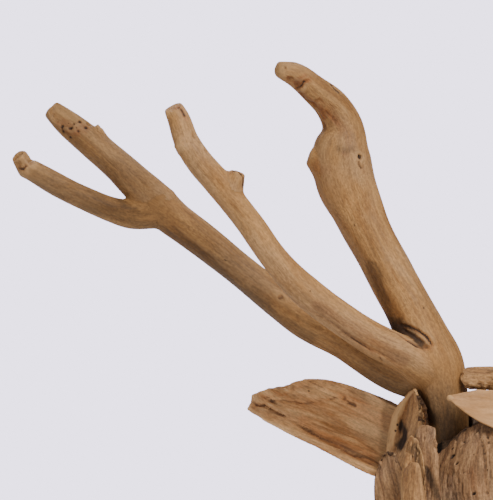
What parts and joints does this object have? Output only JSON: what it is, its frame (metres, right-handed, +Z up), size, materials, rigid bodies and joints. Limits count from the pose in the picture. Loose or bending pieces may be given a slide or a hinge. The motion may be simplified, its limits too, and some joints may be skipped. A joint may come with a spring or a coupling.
{
  "type": "driftwood stag head bust",
  "caption": "Standing bust of a stag's head built up from overlapping driftwood slats, with branch antlers and curled board ears, cut flat below.",
  "frame": {"origin": "centre of the neck's foot on the flat underside that the bust stands on", "axes": "+Z up out of the underside, the stag faces -Y, its own right side is at -X"},
  "size_m": [0.6257, 0.3016, 0.5795],
  "materials": {
    "branch": "bare, smooth, worn by water",
    "board": "bare, rough, weathered grey-brown",
    "bed": "bare, rough, dark",
    "dark": "bare, dark, rubbed smooth"
  },
  "bodies": {
    "root": {"antler_left": "branch", "antler_right": "branch", "bridge_board_1": "board", "bridge_board_2": "board", "bridge_board_3": "board", "bridge_board_4": "board", "bridge_board_5": "board", "brow_board": "board", "cheek_board_1": "board", "cheek_board_2": "board", "chip": "board", "crown_board": "board", "ear_guard_left": "board", "ear_guard_right": "board", "ear_left": "branch", "ear_right": "branch", "eye_left": "dark", "eye_right": "dark", "foot_board_1": "board", "foot_board_2": "board", "foot_board_3": "board", "foot_board_4": "board", "foot_board_5": "board", "foot_board_6": "board", "foot_board_7": "board", "foot_board_8": "board", "forehead_board_1": "board", "forehead_board_2": "board", "forehead_board_3": "board", "jaw_board_1": "board", "jaw_board_2": "board", "muzzle_board_1": "board", "muzzle_board_2": "board", "muzzle_board_3": "board", "muzzle_board_4": "board", "muzzle_board_5": "board", "nape_board_1": "board", "nape_board_2": "board", "nape_board_3": "board", "nape_board_4": "board", "nape_board_5": "board", "neck_board_1": "board", "neck_board_2": "board", "neck_board_3": "board", "neck_board_4": "board", "neck_board_5": "board", "neck_board_6": "board", "neck_board_7": "board", "nose": "dark", "poll_board_1": "board", "poll_board_2": "board", "side_slat_left": "board", "side_slat_right": "board", "slat_bed": "bed", "splinter_left": "board", "splinter_right": "board", "temple_board_left": "board", "temple_board_right": "board", "temple_slat_left": "board", "temple_slat_right": "board"}
  },
  "joints": []
}
